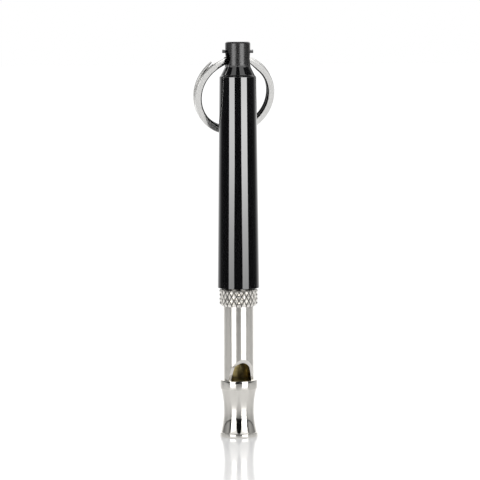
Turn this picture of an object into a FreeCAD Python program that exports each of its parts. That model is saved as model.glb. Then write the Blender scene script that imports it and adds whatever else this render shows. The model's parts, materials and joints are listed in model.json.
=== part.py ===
"""Silent training whistle with a screw-tuned tube, a black screw-on cover and a split ring.

Millimetres. The origin is on the tube's axis, in the plane of the mouthpiece's lip. +Z runs along the
axis from the mouth to the neck that carries the ring, the sound window faces -Y, and the ring's
cross-hole lies along X. Each piece is one solid, written to parts/NAME.step.
"""
import FreeCAD, Part
import math
import os

from FreeCAD import Vector

# ---------------------------------------------------------------- driving dimensions
OVERALL_LENGTH = 84.0
RUNNING_GAP = 0.05            # radial clearance of a part that turns or slides in another
END_GAP = 0.15                # end clearance between parts that move apart

# mouthpiece: lip, hollow waist and the collar that grips the barrel
LIP_R = 4.03
LIP_HEIGHT = 0.9
LIP_EDGE = 0.1
MOUTH_R = 3.45                # widest part of the chamfered mouth
MOUTH_DEPTH = 0.5
BLOW_BORE_R = 2.95
WAIST_FOOT_R = 3.86
WAIST_R = 3.25
WAIST_Z = 5.4
WAIST_HEAD_R = 3.82
COLLAR_R = 4.0
COLLAR_Z = 10.3
MOUTHPIECE_TOP = 12.2
SOCKET_Z = 8.8                # shoulder that the barrel's end seats on

# barrel tube and its sound window
BARREL_R = 3.2
BARREL_BORE_R = 2.75
BARREL_TOP = 38.0
WINDOW_TOP = 16.8
WINDOW_DEPTH = 1.65

# windway plug
WINDWAY_SLOT = 0.45

# knurled grip ring
KNURL_R = 4.05
KNURL_Z = 28.0
KNURL_HEIGHT = 3.6
KNURL_LOWER_CHAMFER = 0.5
KNURL_UPPER_CHAMFER = 0.15

# bushing in the barrel's top, and the tuning parts that it carries
BUSHING_Z = 34.0
BUSHING_FLANGE_R = 3.1
BUSHING_FLANGE_HEIGHT = 0.6
SCREW_R = 1.25
SCREW_TOP = 53.0
SCREW_TIP_R = 0.9
SCREW_TIP_LENGTH = 2.4
SCREW_SLOT_WIDTH = 0.5
SCREW_SLOT_DEPTH = 0.8
PISTON_Z = 23.0
PISTON_LENGTH = 4.5
NUT_ACROSS_FLATS = 5.0
NUT_HEIGHT = 2.0

# cover: tapered shell, thread insert in its foot and end plug with the neck
COVER_Z = 31.9
COVER_FOOT_R = 4.45
COVER_FOOT_CHAMFER = 0.4
COVER_HEAD_R = 3.92
COVER_SHOULDER_Z = 76.6
COVER_TOP = 77.0
COVER_TOP_R = 3.6
INSERT_R = 3.8
INSERT_TOP = 37.9
SHELL_STEP_Z = 38.4
SHELL_BORE_R = 3.55           # inside, just above the thread insert
PLUG_SPIGOT_R = 3.3
PLUG_SPIGOT_Z = 71.0
CONE_TOP_Z = 78.8
CONE_TOP_R = 2.76
NECK_R = 2.68
NECK_CHAMFER = 0.3
RING_HOLE_R = 1.5
RING_HOLE_Z = 80.5
RING_HOLE_FLARE = 0.25

# split ring, hanging through the neck and leaning on the cover's back
RING_INNER_R = 7.5
RING_OUTER_R = 8.8
RING_THICKNESS = 1.6          # two coils
RING_DROP = 8.1               # from the hole's centre to the ring's centre
RING_LEAN_DEG = 18.6

AXIS = Vector(0, 0, 1)
ORIGIN = Vector(0, 0, 0)


# ---------------------------------------------------------------- helpers
def turned(outline):
    """A solid turned about Z. The outline is a closed run of (radius, height) corners; a corner of
    three pairs is an arc from the first to the last through the middle one."""
    edges = []
    here = None
    for corner in outline:
        if isinstance(corner[0], tuple):
            start, middle, end = [Vector(r, 0, z) for r, z in corner]
            if here is not None and here.distanceToPoint(start) > 1e-9:
                edges.append(Part.LineSegment(here, start).toShape())
            edges.append(Part.Arc(start, middle, end).toShape())
            here = end
        else:
            point = Vector(corner[0], 0, corner[1])
            if here is not None:
                edges.append(Part.LineSegment(here, point).toShape())
            here = point
    first = Vector(outline[0][0], 0, outline[0][1])
    edges.append(Part.LineSegment(here, first).toShape())
    return Part.Face(Part.Wire(edges)).revolve(ORIGIN, AXIS, 360)


def rod(radius, bottom, top):
    """A plain round bar on the axis."""
    return Part.makeCylinder(radius, top - bottom, Vector(0, 0, bottom))


def block(x, y, z):
    """A box from three (low, high) pairs."""
    return Part.makeBox(x[1] - x[0], y[1] - y[0], z[1] - z[0], Vector(x[0], y[0], z[0]))


def save(shape, name):
    """Writes one sub-part, which has to be one sound solid."""
    solid = shape.removeSplitter()
    if len(solid.Solids) != 1 or not solid.isValid():
        raise RuntimeError(name + " is not one valid solid")
    solid.Solids[0].exportStep("parts/" + name + ".step")
    print(name, round(solid.Volume, 2), "mm3")


# ---------------------------------------------------------------- whistle body
def mouthpiece():
    """Turned mouthpiece: flat lip, hollow waist, straight collar, open bore and barrel socket."""
    waist = ((WAIST_FOOT_R, LIP_HEIGHT), (WAIST_R, WAIST_Z), (WAIST_HEAD_R, COLLAR_Z))
    return turned([
        (MOUTH_R, 0),
        (LIP_R - LIP_EDGE, 0),
        (LIP_R, LIP_EDGE),
        (LIP_R, LIP_HEIGHT),
        waist,
        (COLLAR_R, COLLAR_Z),
        (COLLAR_R, MOUTHPIECE_TOP),
        (BARREL_R, MOUTHPIECE_TOP),
        (BARREL_R, SOCKET_Z),
        (BLOW_BORE_R, SOCKET_Z),
        (BLOW_BORE_R, MOUTH_DEPTH),
    ])


def barrel_tube():
    """Thin tube from the mouthpiece's socket to the bushing, with the sloped sound window."""
    tube = rod(BARREL_R, SOCKET_Z, BARREL_TOP).cut(rod(BARREL_BORE_R, SOCKET_Z, BARREL_TOP))
    outside = -2 * BARREL_R
    overshoot = 2.0
    slope = WINDOW_DEPTH / (WINDOW_TOP - MOUTHPIECE_TOP)
    corners = [
        Vector(0, WINDOW_DEPTH - BARREL_R, MOUTHPIECE_TOP),
        Vector(0, -BARREL_R - slope * overshoot, WINDOW_TOP + overshoot),
        Vector(0, outside, WINDOW_TOP + overshoot),
        Vector(0, outside, MOUTHPIECE_TOP),
    ]
    wedge = Part.Face(Part.makePolygon(corners + corners[:1])).extrude(Vector(4 * BARREL_R, 0, 0))
    wedge.translate(Vector(-2 * BARREL_R, 0, 0))
    return tube.cut(wedge)


def windway_plug():
    """Short plug in the barrel's foot. Its flat leaves the thin slot that the breath leaves by."""
    plug = rod(BARREL_BORE_R, SOCKET_Z, MOUTHPIECE_TOP)
    flat_y = WINDWAY_SLOT - BARREL_BORE_R
    wide = 2 * BARREL_R
    return plug.cut(block((-wide, wide), (-wide, flat_y), (0, OVERALL_LENGTH)))


def knurled_collar():
    """Grip ring on the barrel, below the cover. Its knurling is not cut in this model."""
    top = KNURL_Z + KNURL_HEIGHT
    return turned([
        (BARREL_R, KNURL_Z),
        (KNURL_R - KNURL_LOWER_CHAMFER, KNURL_Z),
        (KNURL_R, KNURL_Z + KNURL_LOWER_CHAMFER),
        (KNURL_R, top - KNURL_UPPER_CHAMFER),
        (KNURL_R - KNURL_UPPER_CHAMFER, top),
        (BARREL_R, top),
    ])


def screw_bushing():
    """Flanged bushing pressed into the barrel's top, tapped for the tuning screw."""
    hole_r = SCREW_R + RUNNING_GAP
    flange_top = BARREL_TOP + BUSHING_FLANGE_HEIGHT
    return turned([
        (hole_r, BUSHING_Z),
        (BARREL_BORE_R, BUSHING_Z),
        (BARREL_BORE_R, BARREL_TOP),
        (BUSHING_FLANGE_R, BARREL_TOP),
        (BUSHING_FLANGE_R, flange_top),
        (hole_r, flange_top),
    ])


# ---------------------------------------------------------------- tuning parts
def tuning_piston():
    """Round piston that closes the barrel, with a blind socket for the screw's tip."""
    body = rod(BARREL_BORE_R - RUNNING_GAP, PISTON_Z, PISTON_Z + PISTON_LENGTH)
    top = PISTON_Z + PISTON_LENGTH
    socket = rod(SCREW_TIP_R + RUNNING_GAP, top - SCREW_TIP_LENGTH, top)
    return body.cut(socket)


def tuning_screw():
    """Long screw with a plain tip that turns in the piston and a slot across its free end."""
    shoulder = PISTON_Z + PISTON_LENGTH + RUNNING_GAP
    tip = rod(SCREW_TIP_R, shoulder - SCREW_TIP_LENGTH, shoulder)
    body = rod(SCREW_R, shoulder, SCREW_TOP)
    half = SCREW_SLOT_WIDTH / 2
    slot = block((-2, 2), (-half, half), (SCREW_TOP - SCREW_SLOT_DEPTH, OVERALL_LENGTH))
    return body.fuse(tip).cut(slot)


def lock_nut():
    """Hexagon nut that locks the screw against the bushing's flange."""
    bottom = BARREL_TOP + BUSHING_FLANGE_HEIGHT + END_GAP
    corner_r = NUT_ACROSS_FLATS / math.sqrt(3)
    turns = [math.radians(60 * i) for i in range(6)]
    corners = [Vector(corner_r * math.cos(a), corner_r * math.sin(a), bottom) for a in turns]
    hexagon = Part.Face(Part.makePolygon(corners + corners[:1])).extrude(Vector(0, 0, NUT_HEIGHT))
    return hexagon.cut(rod(SCREW_R + RUNNING_GAP, bottom, bottom + NUT_HEIGHT))


# ---------------------------------------------------------------- cover
def cover_shell():
    """Long tapered shell, open at the foot, that hides the tuning parts."""
    return turned([
        (INSERT_R, COVER_Z),
        (COVER_FOOT_R - COVER_FOOT_CHAMFER, COVER_Z),
        (COVER_FOOT_R, COVER_Z + COVER_FOOT_CHAMFER),
        (COVER_HEAD_R, COVER_SHOULDER_Z),
        (COVER_TOP_R, COVER_TOP),
        (PLUG_SPIGOT_R, COVER_TOP),
        (PLUG_SPIGOT_R, PLUG_SPIGOT_Z),
        (SHELL_BORE_R, SHELL_STEP_Z),
        (INSERT_R, SHELL_STEP_Z),
    ])


def cover_thread_insert():
    """Threaded sleeve in the cover's foot, which screws onto the barrel above the grip ring."""
    bottom = KNURL_Z + KNURL_HEIGHT + END_GAP
    return rod(INSERT_R, bottom, INSERT_TOP).cut(rod(BARREL_R + RUNNING_GAP, bottom, INSERT_TOP))


def cover_end_plug():
    """Plug that closes the cover's top: spigot, cone and the neck with its flared cross-hole."""
    plug = turned([
        (0, PLUG_SPIGOT_Z),
        (PLUG_SPIGOT_R, PLUG_SPIGOT_Z),
        (PLUG_SPIGOT_R, COVER_TOP),
        (COVER_TOP_R, COVER_TOP),
        (CONE_TOP_R, CONE_TOP_Z),
        (NECK_R, CONE_TOP_Z),
        (NECK_R, OVERALL_LENGTH - NECK_CHAMFER),
        (NECK_R - NECK_CHAMFER, OVERALL_LENGTH),
        (0, OVERALL_LENGTH),
    ])
    reach = 2 * NECK_R
    along_x = Vector(1, 0, 0)
    hole = Part.makeCylinder(RING_HOLE_R, 2 * reach, Vector(-reach, 0, RING_HOLE_Z), along_x)
    plug = plug.cut(hole)
    for side in (-1, 1):
        mouth_x = side * (NECK_R - RING_HOLE_FLARE)
        wide_r = RING_HOLE_R + reach - NECK_R + RING_HOLE_FLARE
        start = Vector(mouth_x, 0, RING_HOLE_Z)
        flare = Part.makeCone(RING_HOLE_R, wide_r, wide_r - RING_HOLE_R, start, along_x * side)
        plug = plug.cut(flare)
    return plug


# ---------------------------------------------------------------- split ring
def split_ring():
    """Flat-wire split ring at its full section, hung through the neck and leaning back."""
    half = RING_THICKNESS / 2
    ring = turned([
        (RING_INNER_R, -half),
        (RING_OUTER_R, -half),
        (RING_OUTER_R, half),
        (RING_INNER_R, half),
    ])
    ring.rotate(ORIGIN, Vector(1, 0, 0), 90)
    ring.translate(Vector(0, 0, RING_HOLE_Z - RING_DROP))
    ring.rotate(Vector(0, 0, RING_HOLE_Z), Vector(1, 0, 0), RING_LEAN_DEG)
    return ring


PIECES = [
    mouthpiece, barrel_tube, windway_plug, knurled_collar, screw_bushing,
    tuning_piston, tuning_screw, lock_nut,
    cover_shell, cover_thread_insert, cover_end_plug,
    split_ring,
]

os.makedirs("parts", exist_ok=True)
for piece in PIECES:
    save(piece(), piece.__name__)
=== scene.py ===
"""Builds the looks of a screw-tuned training whistle around its packed frame, as an add-on's operators.

Shapes are modelled in millimetres in the frame's own axes and scaled to metres as each piece is finished.
"""
import json
import math

import bmesh
import bpy
from bpy.props import FloatProperty, FloatVectorProperty, IntProperty, PointerProperty
from mathutils import Matrix, Vector


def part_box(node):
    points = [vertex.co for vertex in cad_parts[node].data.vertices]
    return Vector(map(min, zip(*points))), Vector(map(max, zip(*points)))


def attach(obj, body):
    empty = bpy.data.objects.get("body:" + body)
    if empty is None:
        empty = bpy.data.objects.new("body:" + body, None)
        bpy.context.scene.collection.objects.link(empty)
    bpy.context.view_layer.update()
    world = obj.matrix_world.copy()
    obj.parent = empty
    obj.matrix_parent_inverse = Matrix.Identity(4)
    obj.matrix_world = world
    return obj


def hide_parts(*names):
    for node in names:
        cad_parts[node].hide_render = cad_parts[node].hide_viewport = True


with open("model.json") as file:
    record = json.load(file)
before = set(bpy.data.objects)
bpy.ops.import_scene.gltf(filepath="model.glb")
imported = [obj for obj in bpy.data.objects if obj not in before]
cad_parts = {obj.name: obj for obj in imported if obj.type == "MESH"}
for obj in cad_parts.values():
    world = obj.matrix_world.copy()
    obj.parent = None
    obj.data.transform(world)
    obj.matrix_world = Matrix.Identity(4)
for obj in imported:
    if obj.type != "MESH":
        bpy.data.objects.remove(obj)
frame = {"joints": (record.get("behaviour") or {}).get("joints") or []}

bl_info = {
    "name": "Training whistle",
    "version": (1, 0, 0),
    "blender": (4, 5, 0),
    "location": "3D View > Sidebar > Whistle",
    "description": "Builds a training whistle and its studio around a packed frame",
    "category": "Object",
}

MM = 0.001
FULL_TURN = 2 * math.pi
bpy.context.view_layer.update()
X_AXIS = Vector((1, 0, 0))
Y_AXIS = Vector((0, 1, 0))
Z_AXIS = Vector((0, 0, 1))
ORIGIN = Vector((0, 0, 0))


def node_box(node):
    """A node's lowest and highest corners at rest, in millimetres."""
    low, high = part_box(node)
    return low / MM, high / MM


MOUTHPIECE = node_box("mouthpiece")
BARREL = node_box("barrel_tube")
WINDWAY = node_box("windway_plug")
COLLAR = node_box("knurled_collar")
BUSHING = node_box("screw_bushing")
PISTON = node_box("tuning_piston")
SCREW = node_box("tuning_screw")
NUT = node_box("lock_nut")
SHELL = node_box("cover_shell")
INSERT = node_box("cover_thread_insert")
END_PLUG = node_box("cover_end_plug")
RING_HINGE = next(joint for joint in frame["joints"] if joint["name"] == "ring_swing")
HOLE_Z = RING_HINGE["pos_m"][2] / MM


# ---------------- settings
def length(name, default_mm, description):
    """A length setting, kept in metres, from a default in millimetres."""
    return FloatProperty(
        name=name, description=description, default=default_mm * MM, min=0.0, precision=5, unit="LENGTH"
    )


def angle(name, default_deg, description):
    """An angle setting, kept in radians, from a default in degrees."""
    return FloatProperty(
        name=name, description=description, default=math.radians(default_deg), subtype="ANGLE"
    )


def amount(name, default, description):
    """A plain number setting."""
    return FloatProperty(name=name, description=description, default=default, min=0.0)


def colour(name, default, description):
    """A linear colour setting."""
    return FloatVectorProperty(
        name=name, description=description, default=default, size=3, min=0.0, max=1.0, subtype="COLOR"
    )


class WhistleBodySettings(bpy.types.PropertyGroup):
    """Sizes of the plated whistle body."""

    mouth_radius: length("Mouth radius", 3.45, "Widest radius of the chamfered mouth")
    mouth_depth: length("Mouth depth", 0.5, "Depth of the mouth's chamfer")
    blow_radius: length("Blow bore radius", 2.95, "Radius of the bore that is blown into")
    lip_height: length("Lip height", 0.9, "Height of the lip band")
    waist_foot: length("Waist foot radius", 3.86, "Radius of the waist where it meets the lip")
    waist_radius: length("Waist radius", 3.25, "Smallest radius of the hollow waist")
    waist_head: length("Waist head radius", 3.82, "Radius of the waist where it meets the collar")
    collar_height: length("Collar height", 1.9, "Height of the straight collar above the waist")
    collar_radius: length("Collar radius", 4.0, "Radius of the straight collar")
    bore_radius: length("Tube bore radius", 2.75, "Inner radius of the barrel tube")
    window_top: length("Window top", 16.8, "Height at which the window's slope meets the tube")
    window_depth: length("Window depth", 1.65, "Depth of the window at the mouthpiece")
    window_break: length("Window break", 15.0, "Height at which the window's slope steepens")
    break_depth: length("Break depth", 1.0, "Depth of the window where its slope steepens")
    slot_height: length("Windway slot", 0.45, "Height of the slot that the breath leaves by")
    turn_steps: IntProperty(
        name="Turning steps", description="Faces round a turned piece", default=144, min=24
    )


class WhistleKnurlSettings(bpy.types.PropertyGroup):
    """The diamond knurling of the grip ring."""

    starts: IntProperty(name="Starts", description="Diamonds round the ring", default=22, min=6)
    helix: angle("Helix angle", 33.5, "Angle between a groove and the ring's axis")
    depth: length("Depth", 0.3, "Depth of the knurling's grooves")
    crest: FloatProperty(
        name="Crest", description="Flat left on each diamond, as a share of its width", default=0.24,
        min=0.02, max=0.9, subtype="FACTOR"
    )
    lower_chamfer: length("Lower chamfer", 0.5, "Chamfer at the ring's lower edge")
    upper_chamfer: length("Upper chamfer", 0.1, "Chamfer at the ring's upper edge")


class WhistleThreadSettings(bpy.types.PropertyGroup):
    """The screw threads."""

    cover_pitch: length("Cover thread pitch", 0.5, "Pitch of the thread that holds the cover")
    cover_depth: length("Cover thread depth", 0.26, "Depth of the thread that holds the cover")
    screw_pitch: length("Screw thread pitch", 0.45, "Pitch of the tuning screw")
    screw_depth: length("Screw thread depth", 0.25, "Depth of the tuning screw's thread")
    steps: IntProperty(name="Steps", description="Faces in each turn of a thread", default=40, min=16)


class WhistleCoverSettings(bpy.types.PropertyGroup):
    """Sizes of the black cover."""

    foot_chamfer: length("Foot chamfer", 0.05, "Chamfer round the cover's foot")
    head_radius: length("Head radius", 3.92, "Radius of the shell's taper at its shoulder")
    shoulder: length("Shoulder height", 0.4, "Height of the shoulder above the taper")
    top_radius: length("Top radius", 3.6, "Radius of the shoulder's upper edge")
    step_height: length("Insert pocket", 6.5, "Depth of the pocket that holds the thread insert")
    foot_bore: length("Lower bore radius", 3.55, "Inner radius above the thread insert")
    head_bore: length("Upper bore radius", 3.3, "Inner radius at the end plug")
    cone_height: length("Cone height", 1.8, "Height of the cone between shoulder and neck")
    neck_radius: length("Neck radius", 2.68, "Radius of the neck")
    hole_radius: length("Ring hole radius", 1.5, "Radius of the cross-hole")
    hole_flare: length("Ring hole flare", 0.35, "Widening of the cross-hole at its rims")


class WhistleRingSettings(bpy.types.PropertyGroup):
    """Sizes of the split ring."""

    inner_radius: length("Inner radius", 7.3, "Inner radius of the ring")
    outer_radius: length("Outer radius", 8.8, "Outer radius of the ring")
    wire_thickness: length("Wire thickness", 0.73, "Thickness of one coil")
    coil_gap: length("Coil gap", 0.14, "Gap between the two coils")
    drop: length("Drop", 8.1, "Distance from the cross-hole to the ring's centre")
    lean: angle("Lean", 18.6, "Angle at which the ring leans on the cover's back")
    crossing_from: angle("Crossing start", 84.0, "Where the wire starts to cross between the coils")
    crossing_to: angle("Crossing end", 128.0, "Where the wire has crossed between the coils")
    tip_length: angle("Tip length", 34.0, "Stretch over which the wire's ends are ground to a point")
    splay: length("Splay", 0.4, "How far a coil's end stands out from the other coil after use")
    splay_length: angle("Splay length", 120.0, "Stretch over which a coil's end stands out")


class WhistleFinishSettings(bpy.types.PropertyGroup):
    """Colours of the finishes."""

    nickel: colour("Nickel", (0.70, 0.68, 0.64), "Nickel plate")
    brass: colour("Brass", (0.34, 0.27, 0.09), "Unplated brass")
    tarnish: colour("Tarnish", (0.15, 0.12, 0.052), "Darkened brass")
    steel: colour("Steel", (0.56, 0.56, 0.57), "Plated steel")
    lacquer: colour("Lacquer", (0.0035, 0.0035, 0.004), "Gloss black of the cover")
    satin: colour("Satin black", (0.005, 0.005, 0.0053), "Satin black of the neck")
    wire: colour("Ring wire", (0.72, 0.715, 0.70), "Bright wire of the split ring")


class WhistleStageSettings(bpy.types.PropertyGroup):
    """The studio."""

    camera_azimuth: angle("Camera azimuth", -18.0, "Direction of the camera round the whistle")
    camera_distance: length("Camera distance", 485.0, "Distance of the camera from the axis")
    camera_height: length("Camera height", 85.0, "Height of the camera above the floor")
    camera_pitch: angle("Camera pitch", 5.065, "Downward tilt of the camera")
    camera_aim: angle("Camera aim", -0.042, "Small turn of the camera past the axis")
    camera_roll: angle("Camera roll", -0.19, "Small roll of the camera")
    lens: FloatProperty(name="Lens", description="Focal length", default=171.86, unit="CAMERA")
    softbox_power: amount("Softbox strength", 3.9, "Brightness of the two front softboxes")
    softbox_distance: length("Softbox distance", 600.0, "Distance of the softboxes from the axis")
    floor_reach: length("Lit table radius", 300.0, "How far round the whistle the table is lit")
    gloss_reach: length("Glossy table radius", 110.0, "How far round the whistle the table is glossy")
    fill: amount("Fill light", 1.2, "Brightness of the even light from all round")


SETTINGS = {
    "whistle_body": WhistleBodySettings,
    "whistle_knurl": WhistleKnurlSettings,
    "whistle_thread": WhistleThreadSettings,
    "whistle_cover": WhistleCoverSettings,
    "whistle_ring": WhistleRingSettings,
    "whistle_finish": WhistleFinishSettings,
    "whistle_stage": WhistleStageSettings,
}


class Millimetres:
    """Reads the lengths of the scene's settings for a part in millimetres."""

    def __init__(self, part):
        self.group = getattr(bpy.context.scene, "whistle_" + part)

    def __getattr__(self, name):
        return getattr(self.group, name) / MM


# ---------------- shape helpers
def arc(first, middle, last, count):
    """Points of the circular arc from first to last through middle, without its two ends."""
    chord = last - first
    half = chord.length / 2
    centre_line = (first + last) / 2
    across = Vector((-chord.y, chord.x)).normalized()
    rise = (middle - centre_line).dot(across)
    radius = (half * half + rise * rise) / (2 * rise)
    centre = centre_line + across * (rise - radius)
    start = first - centre
    sweep = -math.copysign(2 * math.asin(half / abs(radius)), radius)
    return [centre + Matrix.Rotation(sweep * i / count, 2) @ start for i in range(1, count)]


def wire(outline, closed):
    """A bmesh of one run of edges in the XZ plane. The outline's corners are (radius, height) or
    (radius, height, setback), and a corner with a setback is rounded off over that distance."""
    bm = bmesh.new()
    corners = [bm.verts.new((corner[0], 0, corner[1])) for corner in outline]
    for here, there in zip(corners, corners[1:]):
        bm.edges.new((here, there))
    if closed:
        bm.edges.new((corners[-1], corners[0]))
    rounded = {}
    for vert, corner in zip(corners, outline):
        if len(corner) > 2 and corner[2] > 0:
            rounded.setdefault(corner[2], []).append(vert)
    for setback, verts in rounded.items():
        bmesh.ops.bevel(
            bm, geom=verts, offset=setback, offset_type="OFFSET", segments=4, profile=0.5,
            affect="VERTICES", material=-1, clamp_overlap=True,
        )
    return bm


def clean(bm, merge=1e-5):
    """Merges doubles, drops what has no area and turns every face outwards."""
    bmesh.ops.remove_doubles(bm, verts=bm.verts, dist=merge)
    bmesh.ops.dissolve_degenerate(bm, dist=merge, edges=bm.edges)
    bmesh.ops.recalc_face_normals(bm, faces=bm.faces)
    return bm


def everything(bm):
    """All of a bmesh's geometry."""
    return bm.verts[:] + bm.edges[:] + bm.faces[:]


def verts_in(geometry):
    """The vertices among an operator's results."""
    return [item for item in geometry if isinstance(item, bmesh.types.BMVert)]


def lift(bm, height):
    """Moves a bmesh along Z."""
    bmesh.ops.translate(bm, verts=bm.verts, vec=Z_AXIS * height)


def rotate(bm, turn, axis, centre=ORIGIN):
    """Turns a bmesh about an axis through a centre."""
    bmesh.ops.rotate(bm, verts=bm.verts, cent=centre, matrix=Matrix.Rotation(turn, 3, axis))


def trim(bm, point, normal):
    """Cuts away what lies past a plane, on the side that its normal shows."""
    bmesh.ops.bisect_plane(
        bm, geom=everything(bm), dist=1e-5, plane_co=point, plane_no=normal, clear_outer=True
    )


def fill_gaps(bm):
    """Closes every open rim with a face."""
    bmesh.ops.holes_fill(bm, edges=[edge for edge in bm.edges if edge.is_boundary], sides=0)


def turned(outline, steps):
    """A turned solid: the outline is spun about Z, and is closed unless it starts on the axis."""
    bm = wire(outline, closed=outline[0][0] > 0)
    bmesh.ops.spin(
        bm, geom=bm.verts[:] + bm.edges[:], cent=ORIGIN, axis=Z_AXIS, angle=FULL_TURN, steps=steps,
        use_merge=True,
    )
    return clean(bm)


def helix_skin(inner, outer, pitch, low, high, steps):
    """An open threaded skin from low to high: one tooth of the thread spun upwards, turn on turn."""
    flat = pitch * 0.12
    slope = pitch * 0.5 - flat
    turns = math.ceil((high - low) / pitch) + 2
    start = low - pitch
    tooth = [
        (inner, start), (inner, start + flat), (outer, start + flat + slope),
        (outer, start + 2 * flat + slope), (inner, start + pitch),
    ]
    bm = wire(tooth, closed=False)
    bmesh.ops.spin(
        bm, geom=bm.verts[:] + bm.edges[:], cent=ORIGIN, axis=Z_AXIS, angle=FULL_TURN * turns,
        steps=steps * turns, dvec=Z_AXIS * (pitch / steps), use_merge=False,
    )
    bmesh.ops.remove_doubles(bm, verts=bm.verts, dist=1e-4)
    trim(bm, Z_AXIS * low, -Z_AXIS)
    trim(bm, Z_AXIS * high, Z_AXIS)
    return bm


def rim_at(items, height):
    """The open edges at a height, among mixed geometry."""
    return [
        item for item in items
        if isinstance(item, bmesh.types.BMEdge) and item.is_boundary
        and all(abs(vert.co.z - height) < 1e-3 for vert in item.verts)
    ]


def draw_rim(bm, start, corners):
    """Extrudes the open rim at a starting height to each corner's radius and height in turn, and
    returns the last rim."""
    rim = rim_at(bm.edges, start)
    for radius, height in corners:
        grown = bmesh.ops.extrude_edge_only(bm, edges=rim)["geom"]
        for vert in verts_in(grown):
            vert.co = Vector((vert.co.x, vert.co.y, 0)).normalized() * radius + Z_AXIS * height
        rim = rim_at(grown, height)
    return rim


def close_skin(bm, low, lower, high, upper):
    """Draws a skin's lower and upper rims through their corners and joins them."""
    rims = draw_rim(bm, low, lower) + draw_rim(bm, high, upper)
    bmesh.ops.bridge_loops(bm, edges=rims)
    clean(bm)


def carve(bm, tool):
    """Cuts one closed bmesh out of another and returns the result as a new bmesh."""
    objects = []
    for part in (bm, tool):
        mesh = bpy.data.meshes.new("carving")
        part.to_mesh(mesh)
        part.free()
        objects.append(bpy.data.objects.new("carving", mesh))
        bpy.context.scene.collection.objects.link(objects[-1])
    work, cutter = objects
    cut = work.modifiers.new("cut", "BOOLEAN")
    cut.operation = "DIFFERENCE"
    cut.solver = "EXACT"
    cut.object = cutter
    bpy.context.view_layer.update()
    depsgraph = bpy.context.evaluated_depsgraph_get()
    result = bmesh.new()
    result.from_object(work, depsgraph)
    for item in objects:
        mesh = item.data
        bpy.data.objects.remove(item)
        bpy.data.meshes.remove(mesh)
    return clean(result)


def into_scene(name, bm):
    """Turns a bmesh in millimetres into an object in the scene."""
    bmesh.ops.scale(bm, vec=(MM, MM, MM), verts=bm.verts)
    mesh = bpy.data.meshes.new(name)
    bm.to_mesh(mesh)
    bm.free()
    thing = bpy.data.objects.new(name, mesh)
    bpy.context.scene.collection.objects.link(thing)
    return thing


def finish_piece(name, bm, finish, body, node, sharp=35.0, lining=None):
    """Turns a bmesh in millimetres into a finished piece on its CAD body. A lining is a second finish,
    for the faces marked with material index 1; on the knurl and the split ring it is a darkened copy,
    painted shade."""
    if not bm.faces:
        raise RuntimeError(name + " has no faces")
    if any(not edge.is_manifold for edge in bm.edges):
        raise RuntimeError(name + " has open edges")
    for face in bm.faces:
        face.smooth = True
    piece = into_scene(name, bm)
    piece.data.set_sharp_from_angle(angle=math.radians(sharp))
    piece.data.materials.append(finishes()[finish])
    if lining:
        piece.data.materials.append(finishes()[lining])
    weighted = piece.modifiers.new("even normals", "WEIGHTED_NORMAL")
    weighted.keep_sharp = True
    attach(piece, body)
    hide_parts(node)


# ---------------- finishes
class Nodes:
    """A node tree with short ways to add and join nodes."""

    def __init__(self, tree):
        self.tree = tree

    def new(self, kind, **settings):
        """A new node. A setting is one of its properties, an input's value or an output to join to it."""
        node = self.tree.nodes.new(kind)
        for key, value in settings.items():
            if key in node.inputs:
                self.feed(node.inputs[key], value)
            else:
                setattr(node, key, value)
        return node

    def feed(self, target, value):
        """Gives an input its value, or joins an output to it."""
        if isinstance(value, bpy.types.NodeSocket):
            self.link(value, target)
        else:
            target.default_value = value

    def link(self, output, target):
        """Joins an output to an input."""
        self.tree.links.new(output, target)

    def span(self, value, low, high, to_low=0.0, to_high=1.0):
        """Maps low ... high to another span."""
        limits = {"From Min": low, "From Max": high, "To Min": to_low, "To Max": to_high}
        return self.new("ShaderNodeMapRange", Value=value, **limits).outputs["Result"]

    def greys(self, value, stops):
        """The grey that a colour ramp with these stops gives for a value."""
        ramp = self.new("ShaderNodeValToRGB", Fac=value)
        elements = ramp.color_ramp.elements
        while len(elements) < len(stops):
            elements.new(0.5)
        for element, (position, grey) in zip(elements, stops):
            element.position = position
            element.color = (grey, grey, grey, 1)
        return ramp.outputs["Color"]

    def mix(self, factor, first, second, how="MIX"):
        """A colour between two others, or the two laid over each other."""
        mix = self.new("ShaderNodeMix", data_type="RGBA", blend_type=how, Factor=factor)
        colours = [socket for socket in mix.inputs if socket.type == "RGBA"]
        self.feed(colours[0], first)
        self.feed(colours[1], second)
        return next(socket for socket in mix.outputs if socket.type == "RGBA")

    def layer(self, factor, first, second):
        """One shader laid over another."""
        mix = self.new("ShaderNodeMixShader", Fac=factor)
        self.link(first, mix.inputs[1])
        self.link(second, mix.inputs[2])
        return mix.outputs["Shader"]


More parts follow.
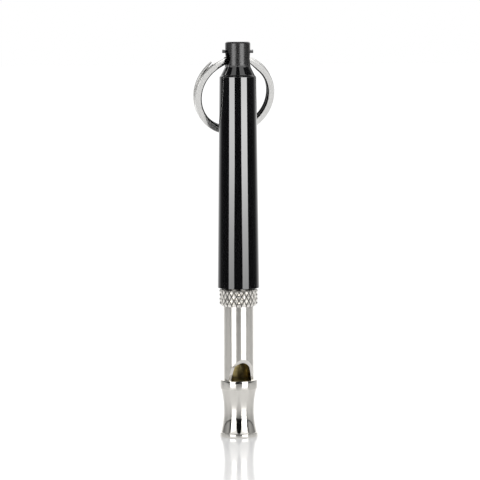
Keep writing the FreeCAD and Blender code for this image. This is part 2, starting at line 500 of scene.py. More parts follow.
class Finish(Nodes):
    """A node material with its shader at hand and the piece's own coordinates as the pattern's space."""

    def __init__(self, name, base, metallic, roughness):
        self.material = bpy.data.materials.new(name)
        self.material.use_nodes = True
        self.material.diffuse_color = (*base, 1)
        super().__init__(self.material.node_tree)
        self.shader = self.tree.nodes["Principled BSDF"]
        self.shader.inputs["Base Color"].default_value = (*base, 1)
        self.shader.inputs["Metallic"].default_value = metallic
        self.shader.inputs["Roughness"].default_value = roughness
        self.place = self.new("ShaderNodeTexCoord").outputs["Object"]

    def noise(self, stretch, detail=3.0, rough=0.5):
        """Noise whose grains measure stretch millimetres along X, Y and Z."""
        scale = self.new("ShaderNodeMapping", Vector=self.place, Scale=[1 / (size * MM) for size in stretch])
        grain = self.new(
            "ShaderNodeTexNoise", Vector=scale.outputs["Vector"], Scale=1.0, Detail=detail, Roughness=rough
        )
        return grain.outputs["Fac"]

    def spread(self, value, low, high):
        """Maps noise's usual span to low ... high."""
        return self.span(value, 0.3, 0.7, low, high)

    def dull(self, value, low, high):
        """Varies the roughness between low and high by noise."""
        self.link(self.spread(value, low, high), self.shader.inputs["Roughness"])

    def tint(self, value, first, second):
        """Colours the surface between two colours by noise."""
        between = self.mix(self.spread(value, 0.0, 1.0), (*first, 1), (*second, 1))
        self.link(between, self.shader.inputs["Base Color"])

    def relief(self, value, height_mm, strength, under=None):
        """Raises the surface by a value and returns the normal, on top of an earlier one."""
        bump = self.new("ShaderNodeBump", Strength=strength, Distance=height_mm * MM, Height=value)
        if under is not None:
            self.link(under, bump.inputs["Normal"])
        self.link(bump.outputs["Normal"], self.shader.inputs["Normal"])
        return bump.outputs["Normal"]


def shade(base, factor):
    """A colour made lighter or darker."""
    return tuple(min(1.0, channel * factor) for channel in base)


def nickel_finish(name, base, roughness, line_height):
    """Nickel plate over turned brass, with fine rings left by the lathe."""
    finish = Finish(name, base, 1.0, roughness)
    lines = finish.noise((30.0, 30.0, 0.09), detail=4.0, rough=0.65)
    cloud = finish.noise((2.2, 2.2, 3.0), detail=2.0)
    finish.tint(cloud, shade(base, 0.96), shade(base, 1.04))
    uneven = finish.new("ShaderNodeMath", operation="MULTIPLY")
    finish.link(finish.spread(lines, 0.8, 1.25), uneven.inputs[0])
    finish.link(finish.spread(cloud, roughness * 0.85, roughness * 1.15), uneven.inputs[1])
    finish.link(uneven.outputs["Value"], finish.shader.inputs["Roughness"])
    finish.relief(lines, line_height, 0.25)
    return finish.material


def brass_finish(name, base, tarnish):
    """Unplated brass, darkened unevenly, with tool marks."""
    finish = Finish(name, base, 1.0, 0.3)
    patches = finish.noise((1.1, 1.1, 1.6), detail=5.0, rough=0.6)
    lines = finish.noise((25.0, 25.0, 0.12), detail=3.0)
    finish.tint(patches, tarnish, base)
    finish.dull(patches, 0.42, 0.24)
    finish.relief(lines, 0.004, 0.4)
    return finish.material


def steel_finish(name, base):
    """Plated steel with a satin grain."""
    finish = Finish(name, base, 1.0, 0.25)
    grain = finish.noise((0.25, 0.25, 0.25), detail=4.0)
    finish.tint(grain, shade(base, 0.9), shade(base, 1.06))
    finish.dull(grain, 0.2, 0.34)
    finish.relief(grain, 0.003, 0.2)
    return finish.material


def lacquer_finish(name, base):
    """Gloss black lacquer with a slight waviness."""
    finish = Finish(name, base, 0.0, 0.07)
    finish.shader.inputs["IOR"].default_value = 2.2
    waves = finish.noise((1.4, 1.4, 6.0), detail=2.0)
    dust = finish.noise((0.12, 0.12, 0.12), detail=2.0)
    finish.tint(waves, shade(base, 0.8), shade(base, 1.3))
    finish.dull(dust, 0.03, 0.065)
    finish.relief(waves, 0.004, 0.25)
    return finish.material


def satin_black_finish(name, base):
    """Satin black with the lathe's rings just showing through."""
    finish = Finish(name, base, 0.0, 0.24)
    finish.shader.inputs["IOR"].default_value = 1.85
    lines = finish.noise((30.0, 30.0, 0.12), detail=3.0)
    grain = finish.noise((0.2, 0.2, 0.2), detail=3.0)
    finish.tint(grain, shade(base, 0.75), shade(base, 1.4))
    finish.dull(grain, 0.24, 0.34)
    under = finish.relief(lines, 0.004, 0.3)
    finish.relief(grain, 0.002, 0.2, under)
    return finish.material


def wire_finish(name, base):
    """Bright plated spring wire with faint scuffs."""
    finish = Finish(name, base, 1.0, 0.12)
    scuffs = finish.noise((0.5, 0.12, 0.5), detail=5.0, rough=0.65)
    finish.tint(scuffs, shade(base, 0.93), shade(base, 1.04))
    finish.dull(scuffs, 0.08, 0.2)
    finish.relief(scuffs, 0.003, 0.15)
    return finish.material


def finishes():
    """The finishes by name, made once."""
    colours = bpy.context.scene.whistle_finish
    nickel, tarnish = colours.nickel, colours.tarnish
    recipes = {
        "polished_nickel": (nickel_finish, nickel, 0.085, 0.002),
        "satin_nickel": (nickel_finish, nickel, 0.17, 0.003),
        # Knurl crests: a slightly rougher frosted nickel, lightened as a painted highlight.
        "frosted_nickel": (nickel_finish, shade(nickel, 1.2), 0.19, 0.002),
        # Nickel darkened to about a fifth: painted shade for the knurl's grooves.
        "groove_nickel": (nickel_finish, shade(nickel, 0.22), 0.3, 0.002),
        "turned_brass": (brass_finish, colours.brass, tarnish),
        "dark_brass": (brass_finish, shade(tarnish, 2.8), shade(tarnish, 0.5)),
        # Tarnished brass darkened to near black: painted shade for the gap under the cover's foot.
        "shaded_brass": (brass_finish, shade(tarnish, 0.1), shade(tarnish, 0.04)),
        "plated_steel": (steel_finish, colours.steel),
        "gloss_black": (lacquer_finish, colours.lacquer),
        "satin_black": (satin_black_finish, colours.satin),
        "bright_wire": (wire_finish, colours.wire),
        # Wire darkened to near black: painted shade along the coils' inner edge.
        "dark_wire": (wire_finish, shade(colours.wire, 0.05)),
    }
    return {
        name: bpy.data.materials.get(name) or make(name, *settings)
        for name, (make, *settings) in recipes.items()
    }


# ---------------- whistle body
class WHISTLE_OT_mouthpiece(bpy.types.Operator):
    """Turns the mouthpiece with its lip, hollow waist, collar and socket"""

    bl_idname = "whistle.mouthpiece"
    bl_label = "Mouthpiece"

    def execute(self, context):
        size = Millimetres("body")
        lip = MOUTHPIECE[1].x
        top = MOUTHPIECE[1].z
        shoulder = BARREL[0].z
        barrel = BARREL[1].x
        collar_foot = top - size.collar_height
        waist_middle = (size.lip_height + collar_foot) / 2
        waist = arc(
            Vector((size.waist_foot, size.lip_height)), Vector((size.waist_radius, waist_middle)),
            Vector((size.waist_head, collar_foot)), 40,
        )
        outline = [
            (size.mouth_radius, 0, 0.08), (lip, 0, 0.12), (lip, size.lip_height, 0.1),
            (size.waist_foot, size.lip_height, 0.03),
            *[(point.x, point.y) for point in waist],
            (size.waist_head, collar_foot, 0.03), (size.collar_radius, collar_foot, 0.06),
            (size.collar_radius, top, 0.09), (barrel, top), (barrel, shoulder),
            (size.blow_radius, shoulder), (size.blow_radius, size.mouth_depth, 0.08),
        ]
        bm = turned(outline, context.scene.whistle_body.turn_steps)
        finish_piece("mouthpiece_turned", bm, "polished_nickel", "barrel", "mouthpiece")
        return {"FINISHED"}


def window_wedge(size):
    """The wedge that a sloped cut takes out of the tube above the mouthpiece."""
    floor_z = MOUTHPIECE[1].z
    outside = BARREL[1].x
    slope = size.break_depth / (size.window_top - size.window_break)
    past = 3.0
    bm = bmesh.new()
    side = [
        (size.window_depth - outside, floor_z), (size.break_depth - outside, size.window_break),
        (-outside - slope * past, size.window_top + past),
        (-3 * outside, size.window_top + past), (-3 * outside, floor_z),
    ]
    face = bm.faces.new([bm.verts.new((-2 * outside, y, z)) for y, z in side])
    grown = bmesh.ops.extrude_face_region(bm, geom=[face])["geom"]
    bmesh.ops.translate(bm, verts=verts_in(grown), vec=X_AXIS * 4 * outside)
    return clean(bm)


class WHISTLE_OT_barrel(bpy.types.Operator):
    """Makes the barrel: the tube with its sound window, and the thread for the cover above it"""

    bl_idname = "whistle.barrel"
    bl_label = "Barrel"

    def execute(self, context):
        size = Millimetres("body")
        thread = Millimetres("thread")
        steps = context.scene.whistle_body.turn_steps
        outside = BARREL[1].x
        low, high = BARREL[0].z, BARREL[1].z
        joint_z = (COLLAR[0].z + COLLAR[1].z) / 2
        rings = [low + (joint_z - low) * i / 30 for i in range(31)]
        outline = [(outside, z) for z in rings] + [(size.bore_radius, z) for z in reversed(rings)]
        tube = carve(turned(outline, steps), window_wedge(size))
        for face in tube.faces:
            in_bore = all(vert.co.xy.length < size.bore_radius + 0.02 for vert in face.verts)
            face.material_index = int(in_bore)
        finish_piece(
            "barrel_tube_windowed", tube, "satin_nickel", "barrel", "barrel_tube",
            sharp=12.0, lining="dark_brass",
        )

        first = COLLAR[1].z + 0.35
        last = high - 0.45
        root = outside - thread.cover_depth
        turns = context.scene.whistle_thread.steps * 2
        bm = helix_skin(root, outside, thread.cover_pitch, first, last, turns)
        close_skin(bm, first, [
            (root, first - 0.1), (root, COLLAR[1].z - 0.2), (outside - 0.02, COLLAR[1].z - 0.25),
            (outside - 0.02, joint_z), (size.bore_radius, joint_z),
        ], last, [
            (root, last + 0.1), (root, high - 0.1), (root - 0.08, high), (size.bore_radius, high),
        ])
        finish_piece(
            "barrel_thread", bm, "satin_nickel", "barrel", "barrel_tube", sharp=20.0
        )
        return {"FINISHED"}


class WHISTLE_OT_windway_plug(bpy.types.Operator):
    """Makes the plug whose flat leaves the windway's slot"""

    bl_idname = "whistle.windway_plug"
    bl_label = "Windway plug"

    def execute(self, context):
        size = Millimetres("body")
        low, high = WINDWAY[0].z, WINDWAY[1].z
        outline = [(0, low), (size.bore_radius, low, 0.08), (size.bore_radius, high, 0.1), (0, high)]
        bm = turned(outline, 96)
        flat = size.bore_radius - size.slot_height
        trim(bm, -Y_AXIS * flat, -Y_AXIS)
        fill_gaps(bm)
        clean(bm)
        finish_piece("windway_plug_flatted", bm, "turned_brass", "barrel", "windway_plug")
        return {"FINISHED"}


def diamond(width, height, crest, base_r, crest_r):
    """One diamond of the knurl at angle 0 and height 0: a blunt pyramid standing on its valley lines."""
    bm = bmesh.new()
    half_turn = width / 2 / crest_r
    corners = [(half_turn, 0), (0, height / 2), (-half_turn, 0), (0, -height / 2)]

    def ring(share, radius):
        return [
            bm.verts.new((radius * math.cos(a * share), radius * math.sin(a * share), z * share))
            for a, z in corners
        ]

    valley = ring(1.0, base_r)
    top = ring(crest, crest_r)
    for i in range(4):
        j = (i + 1) % 4
        bm.faces.new((valley[i], valley[j], top[j], top[i]))
    bm.faces.new(top)
    return bm


class WHISTLE_OT_knurled_collar(bpy.types.Operator):
    """Makes the grip ring with its diamond knurling cut as real grooves"""

    bl_idname = "whistle.knurled_collar"
    bl_label = "Knurled collar"

    def execute(self, context):
        knurl = context.scene.whistle_knurl
        size = Millimetres("knurl")
        crest_r = COLLAR[1].x
        base_r = crest_r - size.depth
        low, high = COLLAR[0].z, COLLAR[1].z
        bore = BARREL[1].x + 0.005
        width = FULL_TURN * crest_r / knurl.starts
        height = width / math.tan(knurl.helix)
        bm = diamond(width, height, knurl.crest, base_r, crest_r)
        # Faces low in each groove get a darkened copy of the nickel as their second finish: painted shade in
        # the knurl's grooves.
        groove = base_r + 0.22 * (crest_r - base_r)
        bmesh.ops.bisect_plane(
            bm, geom=everything(bm), dist=1e-5, plane_co=X_AXIS * groove, plane_no=X_AXIS
        )
        for face in bm.faces:
            face.material_index = int(face.calc_center_median().x < groove)
        bmesh.ops.spin(
            bm, geom=everything(bm), cent=ORIGIN, axis=Z_AXIS, angle=FULL_TURN, steps=knurl.starts,
            use_duplicate=True,
        )
        between = verts_in(bmesh.ops.duplicate(bm, geom=everything(bm))["geom"])
        half_step = Matrix.Rotation(FULL_TURN / knurl.starts / 2, 3, "Z")
        bmesh.ops.rotate(bm, verts=between, cent=ORIGIN, matrix=half_step)
        bmesh.ops.translate(bm, verts=between, vec=Z_AXIS * height / 2)
        rows = math.ceil((high - low) / height) + 2
        row = everything(bm)
        for i in range(1, rows):
            copy = verts_in(bmesh.ops.duplicate(bm, geom=row)["geom"])
            bmesh.ops.translate(bm, verts=copy, vec=Z_AXIS * height * i)
        lift(bm, (low + high) / 2 - height * (rows - 0.5) / 2)
        bmesh.ops.remove_doubles(bm, verts=bm.verts, dist=1e-3)
        first = low + size.lower_chamfer
        last = high - size.upper_chamfer
        trim(bm, Z_AXIS * first, -Z_AXIS)
        trim(bm, Z_AXIS * last, Z_AXIS)
        lower = [(crest_r - size.lower_chamfer, low), (bore, low)]
        close_skin(bm, first, lower, last, [(base_r - 0.02, high), (bore, high)])
        finish_piece(
            "knurled_collar_cut", bm, "frosted_nickel", "barrel", "knurled_collar",
            sharp=12.0, lining="groove_nickel",
        )
        return {"FINISHED"}


# ---------------- tuning parts
class WHISTLE_OT_screw_bushing(bpy.types.Operator):
    """Turns the flanged bushing that carries the tuning screw"""

    bl_idname = "whistle.screw_bushing"
    bl_label = "Screw bushing"

    def execute(self, context):
        size = Millimetres("body")
        hole = SCREW[1].x + 0.05
        flange = BUSHING[1].x
        low, high = BUSHING[0].z, BUSHING[1].z
        seat = BARREL[1].z
        bm = turned([
            (hole, low, 0.1), (size.bore_radius, low, 0.15), (size.bore_radius, seat), (flange, seat, 0.05),
            (flange, high, 0.12), (hole, high, 0.14),
        ], 96)
        finish_piece("screw_bushing_flanged", bm, "turned_brass", "barrel", "screw_bushing")
        return {"FINISHED"}


class WHISTLE_OT_tuning_piston(bpy.types.Operator):
    """Turns the piston that sets the tube's sounding length"""

    bl_idname = "whistle.tuning_piston"
    bl_label = "Tuning piston"

    def execute(self, context):
        outside = PISTON[1].x
        low, high = PISTON[0].z, PISTON[1].z
        socket_r = 0.95
        socket_z = SCREW[0].z - 0.03
        groove_r = outside - 0.22
        groove_width = 0.52
        flank = 0.12
        outline = [(0, low), (outside, low, 0.12)]
        for share in (0.3, 0.6):
            z = low + (high - low) * share
            outline += [
                (outside, z, 0.05), (groove_r, z + flank, 0.05),
                (groove_r, z + groove_width - flank, 0.05), (outside, z + groove_width, 0.05),
            ]
        outline += [(outside, high, 0.12), (socket_r, high, 0.08), (socket_r, socket_z), (0, socket_z)]
        bm = turned(outline, 96)
        finish_piece("tuning_piston_grooved", bm, "turned_brass", "piston", "tuning_piston")
        return {"FINISHED"}


class WHISTLE_OT_tuning_screw(bpy.types.Operator):
    """Cuts the tuning screw with a real helical thread, a plain tip and a driver's slot"""

    bl_idname = "whistle.tuning_screw"
    bl_label = "Tuning screw"

    def execute(self, context):
        thread = Millimetres("thread")
        outside = SCREW[1].x
        root = outside - thread.screw_depth
        top = SCREW[1].z
        tip_z = SCREW[0].z
        shoulder = PISTON[1].z + 0.05
        tip_r = 0.9
        first = shoulder + 0.9
        last = top - 1.1
        bm = helix_skin(root, outside, thread.screw_pitch, first, last, context.scene.whistle_thread.steps)
        draw_rim(bm, first, [
            (root, first - 0.12), (root, shoulder + 0.1), (root - 0.08, shoulder),
            (tip_r, shoulder - 0.02), (tip_r, tip_z + 0.1), (tip_r - 0.1, tip_z),
        ])
        draw_rim(bm, last, [(root, last + 0.12), (root, top - 0.15), (root - 0.15, top)])
        fill_gaps(bm)
        clean(bm)
        slot_width, slot_depth = 0.5, 0.8
        slot = bmesh.new()
        bmesh.ops.create_cube(slot, size=1)
        bmesh.ops.scale(slot, vec=(6, slot_width, 2 * slot_depth), verts=slot.verts)
        lift(slot, top)
        finish_piece(
            "tuning_screw_threaded", carve(bm, slot), "plated_steel", "tuning_screw", "tuning_screw",
            sharp=20.0,
        )
        return {"FINISHED"}


class WHISTLE_OT_lock_nut(bpy.types.Operator):
    """Makes the hexagon lock nut with chamfered corners"""

    bl_idname = "whistle.lock_nut"
    bl_label = "Lock nut"

    def execute(self, context):
        low, high = NUT[0].z, NUT[1].z
        corner = NUT[1].x
        flat = NUT[1].y
        hole = SCREW[1].x + 0.05
        bm = bmesh.new()
        bmesh.ops.create_circle(bm, cap_ends=True, segments=6, radius=corner)
        rotate(bm, math.radians(30), "Z")
        grown = bmesh.ops.extrude_face_region(bm, geom=bm.faces[:])["geom"]
        bmesh.ops.translate(bm, verts=verts_in(grown), vec=Z_AXIS * (high - low))
        lift(bm, low)
        clean(bm)
        core = turned([(0, low - 1), (hole, low - 1), (hole, high + 1), (0, high + 1)], 48)
        bm = carve(bm, core)
        chamfer_r = 0.96 * flat
        chamfer_drop = (2 * corner - chamfer_r) * math.tan(math.radians(28))
        for level, side in ((low, -1), (high, 1)):
            rim = turned([
                (chamfer_r, level), (chamfer_r, level + side), (2 * corner, level + side),
                (2 * corner, level - side * chamfer_drop),
            ], 72)
            bm = carve(bm, rim)
        finish_piece(
            "lock_nut_hexagon", bm, "plated_steel", "lock_nut", "lock_nut", sharp=20.0
        )
        return {"FINISHED"}


# ---------------- cover
class WHISTLE_OT_cover(bpy.types.Operator):
    """Makes the cover: tapered shell, thread insert, and end plug with its neck and cross-hole"""

    bl_idname = "whistle.cover"
    bl_label = "Cover"

    def execute(self, context):
        self.shell(context)
        self.insert(context)
        self.end_plug(context)
        return {"FINISHED"}

    def shell(self, context):
        """The long tapered tube."""
        size = Millimetres("cover")
        foot_r = SHELL[1].x
        low, high = SHELL[0].z, SHELL[1].z
        pocket = INSERT[1].x
        pocket_z = low + size.step_height
        bm = turned([
            (pocket, low, 0.06), (foot_r - size.foot_chamfer, low, 0.08),
            (foot_r, low + size.foot_chamfer, 0.1), (size.head_radius, high - size.shoulder, 0.08),
            (size.top_radius, high, 0.04), (size.head_bore, high), (size.head_bore, END_PLUG[0].z),
            (size.foot_bore, pocket_z), (pocket, pocket_z),
        ], context.scene.whistle_body.turn_steps)
        finish_piece("cover_shell_lacquered", bm, "gloss_black", "cover", "cover_shell")

    def insert(self, context):
        """The sleeve whose thread runs on the barrel's."""
        thread = Millimetres("thread")
        outside = INSERT[1].x
        low, high = INSERT[0].z, INSERT[1].z
        crest = BARREL[1].x + 0.05
        root = crest + thread.cover_depth
        first, last = low + 0.35, high - 0.35
        steps = context.scene.whistle_thread.steps * 2
        bm = helix_skin(root, crest, thread.cover_pitch, first, last, steps)
        close_skin(bm, first, [
            (root, first - 0.1), (root, low + 0.05), (root + 0.05, low), (outside - 0.06, low),
            (outside, low + 0.06),
        ], last, [(root, last + 0.1), (root, high), (outside, high)])
        # The insert's near-black brass is painted shade in the gap under the cover.
        finish_piece(
            "cover_thread_insert_cut", bm, "shaded_brass", "cover", "cover_thread_insert",
            sharp=20.0,
        )

    def end_plug(self, context):
        """The plug with its cone, neck and flared cross-hole, and the raised rims beside the hole."""
        size = Millimetres("cover")
        spigot = size.head_bore
        low, top = END_PLUG[0].z, END_PLUG[1].z
        seat = SHELL[1].z
        neck_foot = seat + size.cone_height
        plug = turned([
            (0, low), (spigot, low, 0.2), (spigot, seat), (size.top_radius, seat, 0.05),
            (size.neck_radius, neck_foot, 0.3),
            (size.neck_radius, top - 0.3, 0.12), (size.neck_radius - 0.3, top, 0.12), (0, top),
        ], context.scene.whistle_body.turn_steps)
        reach = size.neck_radius
        hole = size.hole_radius
        wide = hole + size.hole_flare
        flare = [(hole, reach - 1.5 * size.hole_flare, 0.3), (wide, reach, 0.0)]
        outline = [(0, -reach - 1.5), (wide + 2, -reach - 1.5)]
        outline += [(r, -z, *rest) for r, z, *rest in reversed(flare)]
        outline += flare + [(wide + 2, reach + 1.5), (0, reach + 1.5)]
        drill = turned(outline, 64)
        rotate(drill, math.pi / 2, "Y")
        lift(drill, HOLE_Z)
        clean(drill)
        plug = carve(plug, drill)
        for side in (-1, 1):
            rim = turned([
                (hole + 0.02, reach - 0.7), (hole + 0.02, reach - 0.1, 0.1), (hole + 0.4, reach + 1),
                (hole + 0.52, reach + 1), (hole + 0.12, reach - 0.12, 0.1), (hole + 0.12, reach - 0.7),
            ], 48)
            rotate(rim, side * math.pi / 2, "Y")
            lift(rim, HOLE_Z)
            sleeve = [(reach + 0.6, seat), (2 * reach, seat), (2 * reach, 2 * top), (reach + 0.6, 2 * top)]
            rim = carve(rim, turned(sleeve, 96))
            trim(rim, Z_AXIS * (HOLE_Z + 0.75 * hole), -Z_AXIS)
            fill_gaps(rim)
            mesh = bpy.data.meshes.new("rim")
            rim.to_mesh(mesh)
            rim.free()
            plug.from_mesh(mesh)
            bpy.data.meshes.remove(mesh)
        for face in plug.faces:
            centre = face.calc_center_median()
            on_cone = seat < centre.z < neck_foot + 0.2 and centre.xy.length > size.neck_radius
            face.material_index = int(on_cone)
        finish_piece(
            "cover_end_plug_necked", plug, "satin_black", "cover", "cover_end_plug",
            lining="gloss_black",
        )


# ---------------- split ring
class WHISTLE_OT_split_ring(bpy.types.Operator):
    """Winds the split ring: two flat coils of one wire that crosses over inside the neck"""

    bl_idname = "whistle.split_ring"
    bl_label = "Split ring"

    def execute(self, context):
        ring = context.scene.whistle_ring
        size = Millimetres("ring")
        half = size.wire_thickness / 2
        coil = half + size.coil_gap / 2
        section = [
            (size.inner_radius, -half - coil, 0.3), (size.outer_radius, -half - coil, 0.12),
            (size.outer_radius, half - coil, 0.12), (size.inner_radius, half - coil, 0.3),
        ]
        bm = wire(section, closed=True)
        step = math.radians(2)
        crossing = ring.crossing_to - ring.crossing_from
        run = FULL_TURN - crossing
        stretches = [(run, 0.0), (crossing, 2 * coil), (run, 0.0)]
        tip = bm.verts[:] + bm.edges[:]
        for sweep, rise in stretches:
            count = round(sweep / step)
            eased = [0.5 - 0.5 * math.cos(math.pi * i / count) for i in range(count + 1)]
            for i in range(count):
                tip = bmesh.ops.spin(
                    bm, geom=tip, cent=ORIGIN, axis=Z_AXIS, angle=sweep / count, steps=1,
                    dvec=Z_AXIS * rise * (eased[i + 1] - eased[i]),
                )["geom_last"]
        fill_gaps(bm)
        # Faces near the inner edge get near-black wire as their second finish: painted shade along the
        # ring's inside.
        for face in bm.faces:
            face.material_index = int(face.calc_center_median().xy.length < size.inner_radius + 0.28)
        self.grind_tips(bm, size, ring, coil, run)
        rotate(bm, ring.crossing_to, "Z")
        rotate(bm, math.pi / 2, "X")
        lift(bm, HOLE_Z - size.drop)
        rotate(bm, ring.lean, "X", Z_AXIS * HOLE_Z)
        clean(bm)
        finish_piece(
            "split_ring_coils", bm, "bright_wire", "split_ring", "split_ring",
            lining="dark_wire",
        )
        return {"FINISHED"}

    def grind_tips(self, bm, size, ring, coil, run):
        """Thins both ends of the wire to a point at its outer edge and splays them: the rear coil's end
        outwards, the front coil's end inwards."""
        for vert in bm.verts:
            angle_here = math.atan2(vert.co.y, vert.co.x) % FULL_TURN
            lower = vert.co.z < 0
            left = angle_here if lower else (run - angle_here) % FULL_TURN
            in_coil = abs(abs(vert.co.z) - coil) < size.wire_thickness / 2 + 0.01
            if not in_coil or left > ring.splay_length or angle_here > run + 1e-3:
                continue
            keep = max(0.12, math.sin(min(1.0, left / ring.tip_length) * math.pi / 2))
            radius = vert.co.xy.length
            new_radius = size.outer_radius - (size.outer_radius - radius) * keep
            splay = size.splay * (1 - left / ring.splay_length) ** 2
            new_radius += splay if lower else -splay
            vert.co.x *= new_radius / radius
            vert.co.y *= new_radius / radius


# ---------------- stage
def only_reflected(thing):
    """Leaves a thing to show in reflections alone."""
    thing.visible_camera = False
    thing.visible_diffuse = False
    thing.visible_shadow = False


def panel(name, stage, rows, power):
    """A tall softbox that faces the whistle. Only reflections show it. Each row gives a height in
    millimetres and the azimuths, in degrees from the camera's, between which it reaches."""
    distance = stage.softbox_distance / MM
    bm = bmesh.new()
    below = None
    for height, *edges in rows:
        ends = []
        for degrees in edges:
            towards = Matrix.Rotation(stage.camera_azimuth + math.radians(degrees), 3, "Z") @ -Y_AXIS
            ends.append(bm.verts.new(towards * distance + Z_AXIS * height))
        if below:
            bm.faces.new((below[0], below[1], ends[1], ends[0]))
        below = ends
    box = into_scene(name, bm)
    material = bpy.data.materials.new(name)
    material.use_nodes = True
    material.node_tree.nodes.clear()
    nodes = Nodes(material.node_tree)
    place = nodes.new("ShaderNodeTexCoord").outputs["Object"]
    height = nodes.new("ShaderNodeSeparateXYZ", Vector=place).outputs["Z"]
    fade = nodes.greys(nodes.span(height, -0.1, 0.3), (
        (0.0, 0.42), (0.2, 0.42), (0.27, 0.6), (0.34, 0.88), (0.4, 1.0), (0.5, 0.95), (0.62, 0.3),
        (1.0, 0.16),
    ))
    glow = nodes.new("ShaderNodeEmission", Color=fade, Strength=power)
    nodes.new("ShaderNodeOutputMaterial", Surface=glow.outputs["Emission"])
    material.cycles.emission_sampling = "NONE"
    box.data.materials.append(material)
    only_reflected(box)


def table_top(name, bm, ior, gloss_reach):
    """A white table top from a flat bmesh in millimetres. It is glossy near the whistle, and turns matt
    between once and twice the gloss's reach in metres."""
    top = into_scene(name, bm)
    white = (0.9, 0.9, 0.9)
    finish = Finish(name, white, 0.0, 0.12)
    finish.shader.inputs["IOR"].default_value = ior
    finish.dull(finish.noise((6.0, 6.0, 6.0), detail=2.0), 0.1, 0.14)
    away = finish.new("ShaderNodeVectorMath", operation="LENGTH", Vector=finish.place)
    matt = finish.new("ShaderNodeBsdfDiffuse", Color=(*white, 1))
    fade = finish.span(away.outputs["Value"], gloss_reach, 2 * gloss_reach)
    surface = finish.layer(fade, finish.shader.outputs["BSDF"], matt.outputs["BSDF"])
    finish.link(surface, finish.tree.nodes["Material Output"].inputs["Surface"])
    top.data.materials.append(finish.material)
    return top


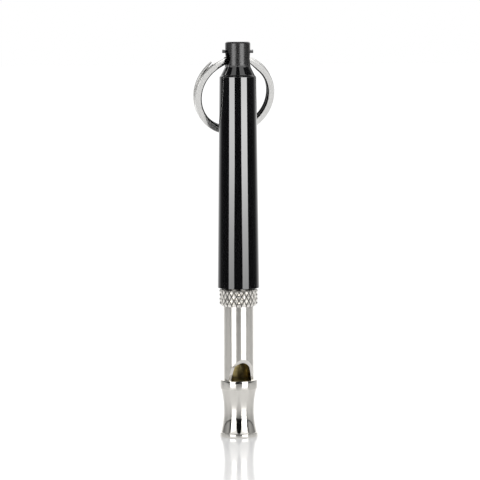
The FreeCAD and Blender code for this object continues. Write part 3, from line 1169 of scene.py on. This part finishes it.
class WHISTLE_OT_stage(bpy.types.Operator):
    """Sets up the white table, the softboxes, the even light and the camera"""

    bl_idname = "whistle.stage"
    bl_label = "Stage"

    def execute(self, context):
        stage = context.scene.whistle_stage
        self.table(stage)
        self.lights(stage)
        self.surround(context.scene, stage)
        self.camera(context.scene, stage)
        context.scene.view_settings.view_transform = "Standard"
        return {"FINISHED"}

    def table(self, stage):
        """The table that the camera sees, and the lit part of it that polished metal reflects."""
        sheet = bmesh.new()
        bmesh.ops.create_grid(sheet, x_segments=1, y_segments=1, size=6000)
        table_top("table", sheet, 1.5, stage.gloss_reach).visible_glossy = False
        disc = bmesh.new()
        lower = Matrix.Translation(Z_AXIS * -0.1)
        bmesh.ops.create_circle(
            disc, cap_ends=True, segments=64, radius=stage.floor_reach / MM, matrix=lower
        )
        only_reflected(table_top("table_in_reflections", disc, 1.6, stage.floor_reach))

    def lights(self, stage):
        """Two softboxes, left and right of the camera."""
        left = [
            (-110, -55, -24), (0, -55, -24), (40, -54, -20), (110, -54, -20), (200, -66, -10),
            (300, -76, -1), (420, -76, -1), (540, -55, -16), (1700, -55, -16),
        ]
        right = [
            (-110, 23, 58), (0, 23, 58), (40, 20, 57), (110, 20, 57), (200, 11, 68),
            (300, 2, 80), (420, 2, 80), (540, 17, 58), (1700, 17, 58),
        ]
        panel("softbox_left", stage, left, stage.softbox_power)
        panel("softbox_right", stage, right, stage.softbox_power * 1.13)

    def surround(self, scene, stage):
        """White for the camera, even light for matt surfaces, and a shaded studio for reflections."""
        world = bpy.data.worlds.new("studio")
        world.use_nodes = True
        world.cycles.sampling_method = "NONE"
        world.node_tree.nodes.clear()
        nodes = Nodes(world.node_tree)
        azimuth = stage.camera_azimuth
        place = nodes.new("ShaderNodeTexCoord").outputs["Generated"]
        flat = nodes.new("ShaderNodeVectorMath", operation="MULTIPLY", Vector=place)
        flat.inputs[1].default_value = (1, 1, 0)
        level = nodes.new("ShaderNodeVectorMath", operation="NORMALIZE", Vector=flat.outputs["Vector"])
        facing = nodes.new("ShaderNodeVectorMath", operation="DOT_PRODUCT", Vector=level.outputs["Vector"])
        facing.inputs[1].default_value = (math.sin(azimuth), -math.cos(azimuth), 0)
        round_camera = nodes.span(facing.outputs["Value"], -1, 1)
        behind = ((180, 0.68), (155, 0.68), (140, 0.36), (126, 0.15), (112, 0.02), (90, 0.006), (0, 0.003))
        stops = [((math.cos(math.radians(degrees)) + 1) / 2, grey) for degrees, grey in behind]
        rise = nodes.new("ShaderNodeSeparateXYZ", Vector=place).outputs["Z"]
        band = nodes.greys(rise, ((0.0, 0), (0.004, 0), (0.02, 1), (0.3, 1), (0.45, 0)))
        beside = nodes.greys(round_camera, ((0.0, 0.0), (0.6, 0.22), (0.68, 0.12), (0.75, 0)))
        low_walls = nodes.mix(1, band, beside, "MULTIPLY")
        walls = nodes.mix(1, low_walls, nodes.greys(round_camera, stops), "LIGHTEN")
        studio = nodes.new("ShaderNodeBackground", Color=walls, Strength=2.2)
        even = nodes.new("ShaderNodeBackground", Color=(1, 1, 1, 1), Strength=stage.fill)
        white = nodes.new("ShaderNodeBackground", Color=(1, 1, 1, 1))
        path = nodes.new("ShaderNodeLightPath").outputs
        light = nodes.layer(path["Is Glossy Ray"], even.outputs[0], studio.outputs[0])
        sky = nodes.layer(path["Is Camera Ray"], light, white.outputs[0])
        nodes.new("ShaderNodeOutputWorld", Surface=sky)
        scene.world = world

    def camera(self, scene, stage):
        """The camera, a little above the cover's top."""
        data = bpy.data.cameras.new("camera")
        data.lens = stage.lens
        data.sensor_width = 36
        camera = bpy.data.objects.new("camera", data)
        azimuth = stage.camera_azimuth
        place = Vector((math.sin(azimuth), -math.cos(azimuth), 0)) * stage.camera_distance
        place.z = stage.camera_height
        turn = Matrix.Rotation(azimuth + stage.camera_aim, 4, "Z")
        tilt = Matrix.Rotation(math.pi / 2 - stage.camera_pitch, 4, "X")
        roll = Matrix.Rotation(stage.camera_roll, 4, "Z")
        camera.matrix_world = Matrix.Translation(place) @ turn @ tilt @ roll
        data.clip_start = 0.01
        data.clip_end = 50
        scene.collection.objects.link(camera)
        scene.camera = camera


# ---------------- add-on
OPERATORS = [
    WHISTLE_OT_mouthpiece,
    WHISTLE_OT_barrel,
    WHISTLE_OT_windway_plug,
    WHISTLE_OT_knurled_collar,
    WHISTLE_OT_screw_bushing,
    WHISTLE_OT_tuning_piston,
    WHISTLE_OT_tuning_screw,
    WHISTLE_OT_lock_nut,
    WHISTLE_OT_cover,
    WHISTLE_OT_split_ring,
    WHISTLE_OT_stage,
]


class WHISTLE_PT_panel(bpy.types.Panel):
    """Lists the whistle's operators and settings"""

    bl_idname = "WHISTLE_PT_panel"
    bl_label = "Training whistle"
    bl_space_type = "VIEW_3D"
    bl_region_type = "UI"
    bl_category = "Whistle"

    def draw(self, context):
        for operator in OPERATORS:
            self.layout.operator(operator.bl_idname)
        for name, group in SETTINGS.items():
            box = self.layout.box()
            box.label(text=group.__doc__)
            for key in group.__annotations__:
                box.prop(getattr(context.scene, name), key)


def register():
    """Registers the settings, the operators and the panel."""
    for name, group in SETTINGS.items():
        bpy.utils.register_class(group)
        setattr(bpy.types.Scene, name, PointerProperty(type=group))
    for item in [*OPERATORS, WHISTLE_PT_panel]:
        bpy.utils.register_class(item)


def unregister():
    """Takes back what register() made."""
    for item in reversed([*OPERATORS, WHISTLE_PT_panel]):
        bpy.utils.unregister_class(item)
    for name, group in reversed(SETTINGS.items()):
        delattr(bpy.types.Scene, name)
        bpy.utils.unregister_class(group)


def main():
    """Builds everything."""
    register()
    for operator in OPERATORS:
        group, name = operator.bl_idname.split(".")
        getattr(getattr(bpy.ops, group), name)()
    bpy.context.view_layer.update()


if __name__ == "__main__":
    main()
